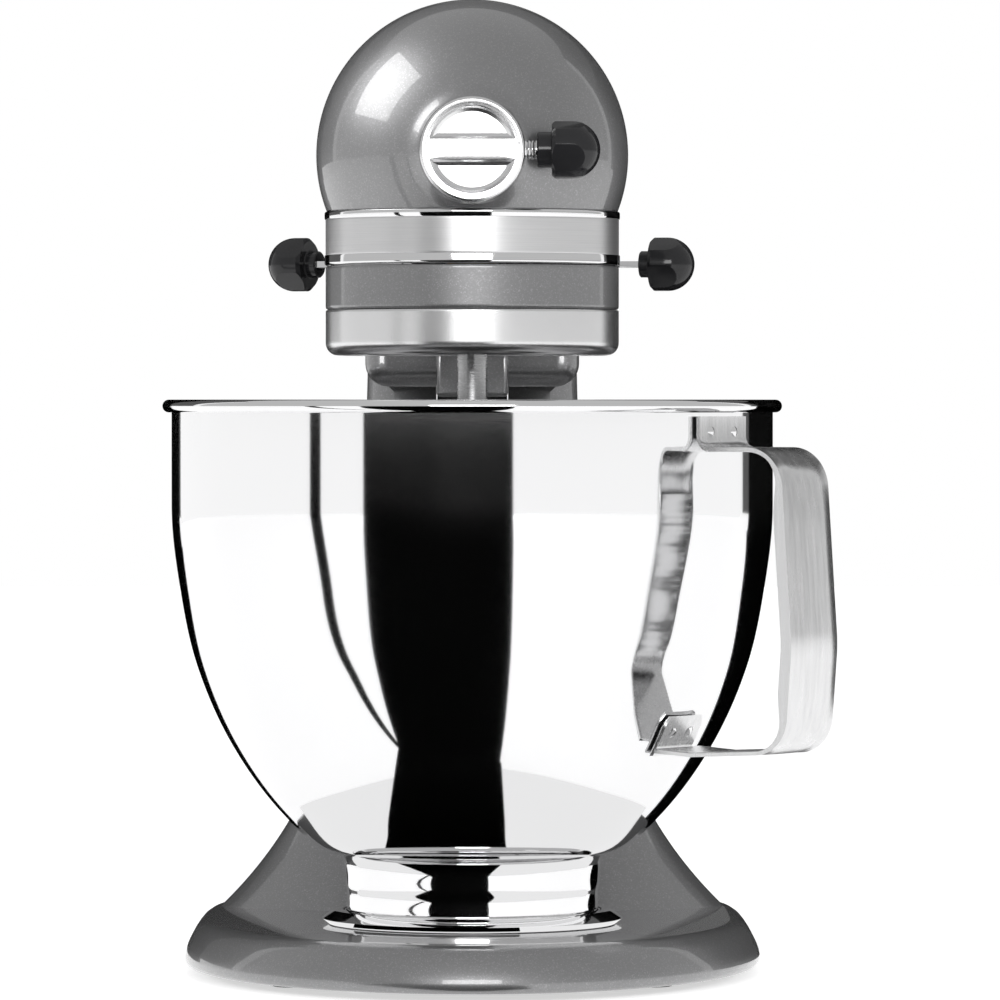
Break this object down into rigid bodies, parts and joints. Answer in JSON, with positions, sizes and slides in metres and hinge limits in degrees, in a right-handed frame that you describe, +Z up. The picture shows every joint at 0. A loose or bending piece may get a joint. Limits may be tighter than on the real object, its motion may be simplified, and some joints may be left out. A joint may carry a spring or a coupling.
{
  "type": "stand mixer",
  "caption": "Tilt-head stand mixer: bullet-shaped metal head on a flared column and oval base, planetary drive, front power hub, control levers and a polished steel bowl with a strap handle.",
  "frame": {"origin": "on the table, at the centre of the middle rubber foot, under the axis of the bowl and planetary drive", "axes": "+Z up, -Y towards the front of the machine (the power hub), +X to the right seen from the front"},
  "size_m": [0.2393, 0.3598, 0.3527],
  "materials": {
    "silver_enamel": "metallic enamel under a clear coat",
    "polished_steel": "polished",
    "brushed_trim": "brushed strip with polished edges",
    "machined_steel": "machined",
    "black_plastic": "moulded, semi-gloss",
    "black_rubber": "matt",
    "cast_aluminium": "cast",
    "bronze": "machined",
    "core_iron": "laminated"
  },
  "bodies": {
    "stand": {"base_casting": "silver_enamel", "base_plate": "cast_aluminium", "rubber_feet": "black_rubber", "plate_screws": "machined_steel", "column_screws": "machined_steel", "pedestal_column": "silver_enamel", "hinge_pin": "machined_steel", "hinge_set_screw": "machined_steel", "stop_screw": "machined_steel", "bowl_clamp_plate": "polished_steel", "clamp_screws": "machined_steel"},
    "bowl": {"bowl_shell": "polished_steel", "bowl_foot_ring": "polished_steel", "handle_strap": "polished_steel", "handle_grip": "polished_steel"},
    "head": {"head_shell": "silver_enamel", "rear_cover": "silver_enamel", "trim_band": "brushed_trim", "lower_housing": "silver_enamel", "housing_screws": "machined_steel", "drip_ring": "polished_steel", "ring_gear": "machined_steel", "centre_bush": "bronze", "front_bearing_bracket": "cast_aluminium", "rear_bearing_bracket": "cast_aluminium", "motor_stator": "core_iron", "brush_holders": "bronze", "brush_caps": "black_plastic", "lever_pivots": "machined_steel", "cord_gland": "black_rubber"},
    "planetary": {"planetary_disc": "cast_aluminium", "centre_shaft": "machined_steel", "drive_pin": "machined_steel", "shaft_clip": "machined_steel", "centre_gear": "machined_steel"},
    "beater_drive": {"beater_shaft": "machined_steel", "beater_cross_pin": "machined_steel", "beater_pinion": "machined_steel"},
    "wheel_shaft": {"worm_wheel_shaft": "machined_steel", "worm_wheel": "bronze"},
    "armature": {"armature_shaft": "machined_steel", "armature_core": "core_iron", "commutator": "bronze", "cooling_fan": "black_plastic"},
    "hub_drive": {"hub_gear": "machined_steel"},
    "hub_cover": {"hub_cover": "polished_steel"},
    "hub_knob": {"hub_screw": "polished_steel", "hub_knob": "black_plastic"},
    "speed_lever": {"speed_lever": "polished_steel", "speed_knob": "black_plastic"},
    "lock_lever": {"lock_lever": "polished_steel", "lock_knob": "black_plastic"}
  },
  "joints": [
    {"name": "head_tilt", "type": "hinge", "parent": "stand", "child": "head", "pos_m": [0, 0.141, 0.2], "axis": [-1, 0, 0], "range_deg": [0, 38]},
    {"name": "bowl_turn", "type": "hinge", "parent": "stand", "child": "bowl", "pos_m": [0, 0, 0.0213], "axis": [0, 0, 1], "range_deg": [0, 20]},
    {"name": "planetary_spin", "type": "hinge", "parent": "head", "child": "planetary", "pos_m": [0, 0, 0.232], "axis": [0, 0, 1], "continuous": true},
    {"name": "beater_spin", "type": "hinge", "parent": "planetary", "child": "beater_drive", "pos_m": [0, 0.03, 0.2], "axis": [0, 0, 1], "continuous": true},
    {"name": "wheel_shaft_spin", "type": "hinge", "parent": "head", "child": "wheel_shaft", "pos_m": [0.024, 0.04157, 0.28], "axis": [0, 0, 1], "continuous": true},
    {"name": "armature_spin", "type": "hinge", "parent": "head", "child": "armature", "pos_m": [0, 0.1, 0.2965], "axis": [0, 1, 0], "continuous": true},
    {"name": "hub_drive_spin", "type": "hinge", "parent": "head", "child": "hub_drive", "pos_m": [0, -0.02, 0.2965], "axis": [0, -1, 0], "continuous": true},
    {"name": "hub_cover_pull", "type": "slide", "parent": "head", "child": "hub_cover", "axis": [0, -1, 0], "range_m": [0, 0.15]},
    {"name": "hub_knob_turn", "type": "hinge", "parent": "head", "child": "hub_knob", "pos_m": [0.0229, -0.0603, 0.2965], "axis": [1, 0, 0], "range_deg": [0, 360]},
    {"name": "speed_lever_turn", "type": "hinge", "parent": "head", "child": "speed_lever", "pos_m": [-0.02, 0.0548, 0.2586], "axis": [0, 0, 1], "range_deg": [0, 50]},
    {"name": "lock_lever_turn", "type": "hinge", "parent": "head", "child": "lock_lever", "pos_m": [0.03, 0.075, 0.2586], "axis": [0, 0, 1], "range_deg": [0, 25]}
  ],
  "couplings": [
    {"joint": "beater_spin", "follows": "planetary_spin", "ratio": -3.5},
    {"joint": "wheel_shaft_spin", "follows": "planetary_spin", "ratio": -3},
    {"joint": "armature_spin", "follows": "planetary_spin", "ratio": 27},
    {"joint": "hub_drive_spin", "follows": "planetary_spin", "ratio": 1}
  ]
}
